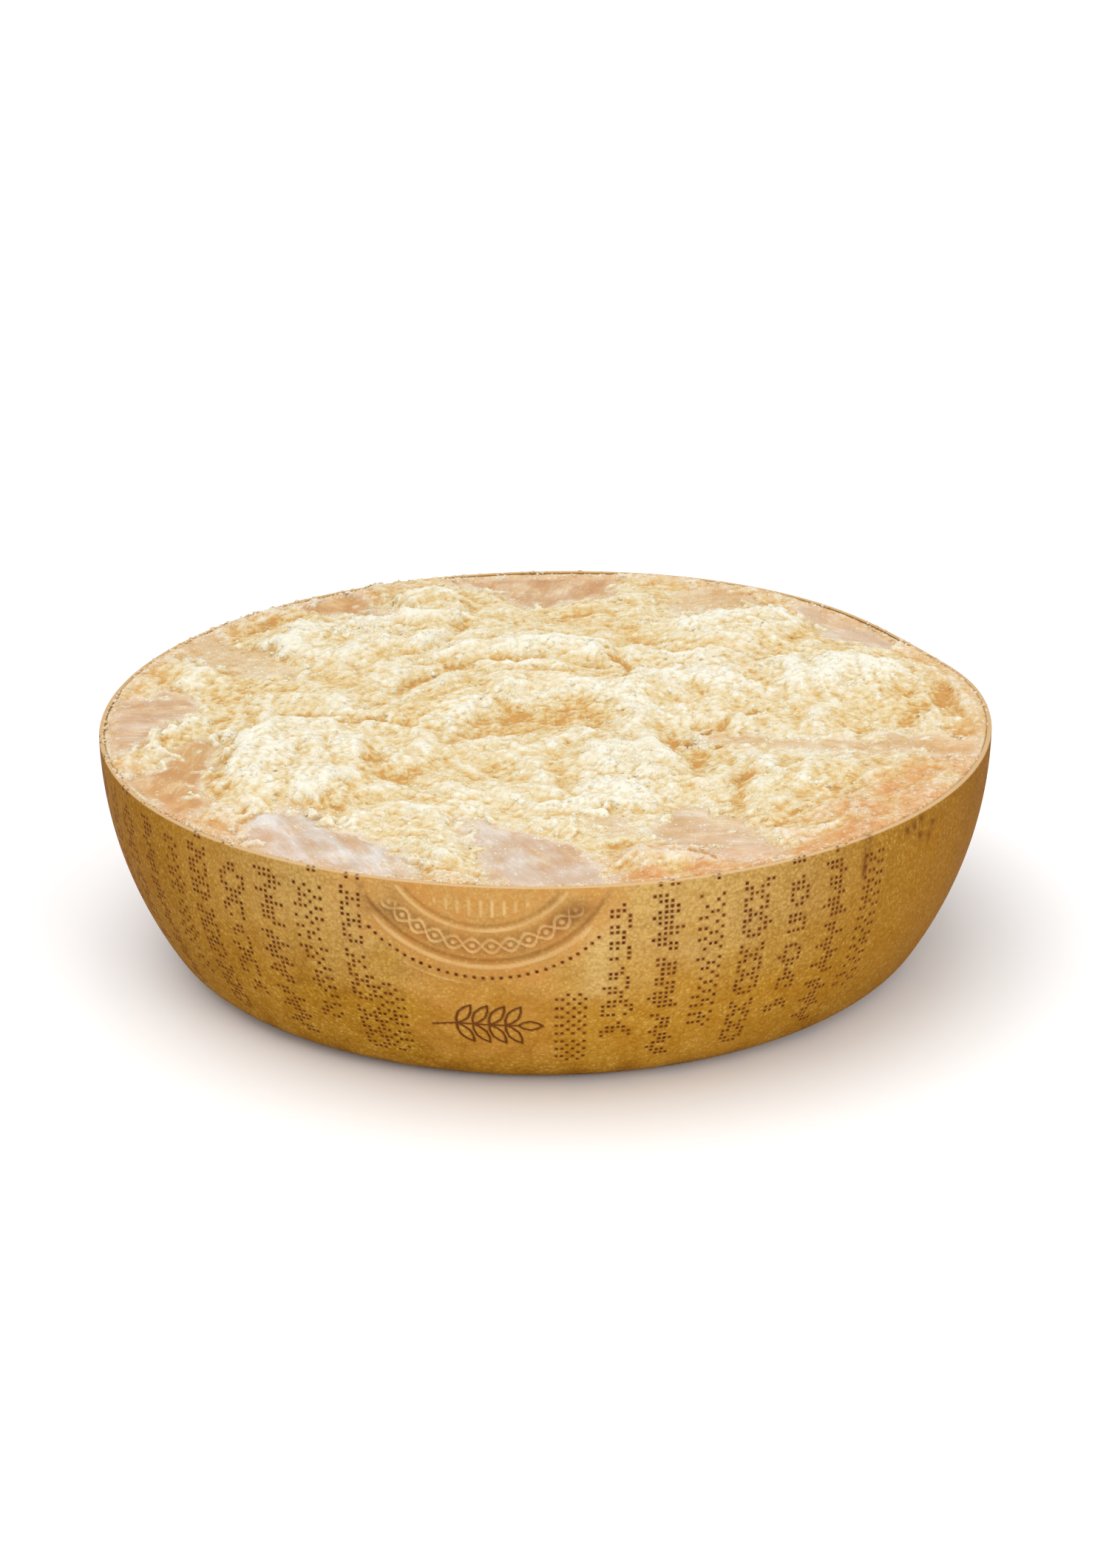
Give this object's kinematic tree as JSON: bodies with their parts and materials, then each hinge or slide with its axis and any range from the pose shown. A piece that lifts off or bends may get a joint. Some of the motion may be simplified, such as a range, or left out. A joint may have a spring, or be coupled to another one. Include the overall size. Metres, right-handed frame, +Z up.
{
  "type": "half parmesan wheel",
  "caption": "Hard aged cheese wheel split level across its middle, lying on its base with the craggy broken face up.",
  "frame": {"origin": "middle of the footprint, on the plane that the flat base lies on", "axes": "+X to the right and +Y to the back as the picture shows it, +Z up through the broken face"},
  "size_m": [0.4412, 0.44, 0.1255],
  "materials": {
    "cheese": "dry crumbly pale paste, with a waxy golden brown rind on the side and base"
  },
  "bodies": {
    "root": {"cheese_half_wheel": "cheese"}
  },
  "joints": []
}
